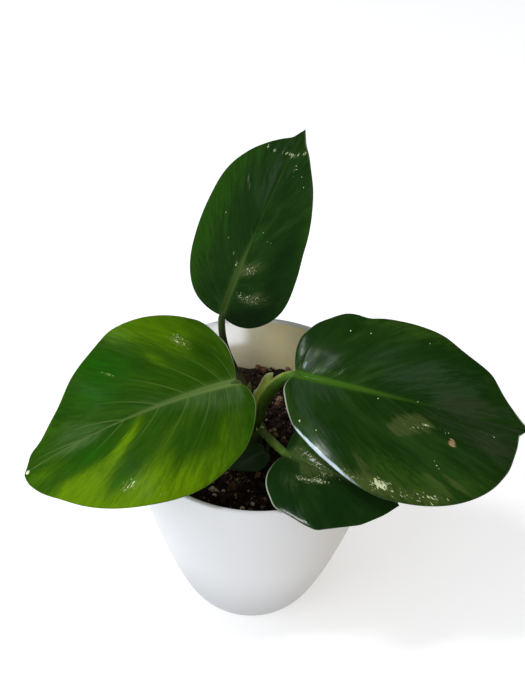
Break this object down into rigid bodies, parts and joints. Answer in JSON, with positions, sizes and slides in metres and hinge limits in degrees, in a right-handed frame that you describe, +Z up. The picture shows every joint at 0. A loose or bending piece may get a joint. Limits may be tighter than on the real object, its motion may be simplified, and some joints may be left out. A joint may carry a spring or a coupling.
{
  "type": "potted philodendron",
  "caption": "Young house plant with broad heart-shaped leaves on slender stalks, growing in soil in a plain tapered white pot that stands on its flat base.",
  "frame": {"origin": "centre of the pot's flat base, where it stands", "axes": "+Z up along the pot's axis; the view of the picture is from -Y, with +X to its right"},
  "size_m": [0.2232, 0.1842, 0.217],
  "materials": {
    "pot_white": "smooth satin white plastic",
    "soil": "moist dark peat with crumbs",
    "grit": "matt pale mineral grains",
    "stem": "smooth green bark",
    "stalk": "smooth green, slightly glossy",
    "sheath": "thin, pale yellow-green",
    "leaf_top": "waxy dark green leaf",
    "leaf_left": "waxy mid green leaf with yellow-green streaks",
    "leaf_right": "glossy dark green leaf",
    "leaf_low": "glossy very dark green leaf",
    "leaf_small": "waxy very dark green leaf"
  },
  "bodies": {
    "root": {"pot": "pot_white", "soil": "soil", "stem": "stem", "blade_top": "leaf_top", "stalk_top": "stalk", "blade_left": "leaf_left", "stalk_left": "stalk", "blade_right": "leaf_right", "stalk_right": "stalk", "blade_low": "leaf_low", "stalk_low": "stalk", "blade_small": "leaf_small", "stalk_small": "stalk"}
  },
  "joints": []
}
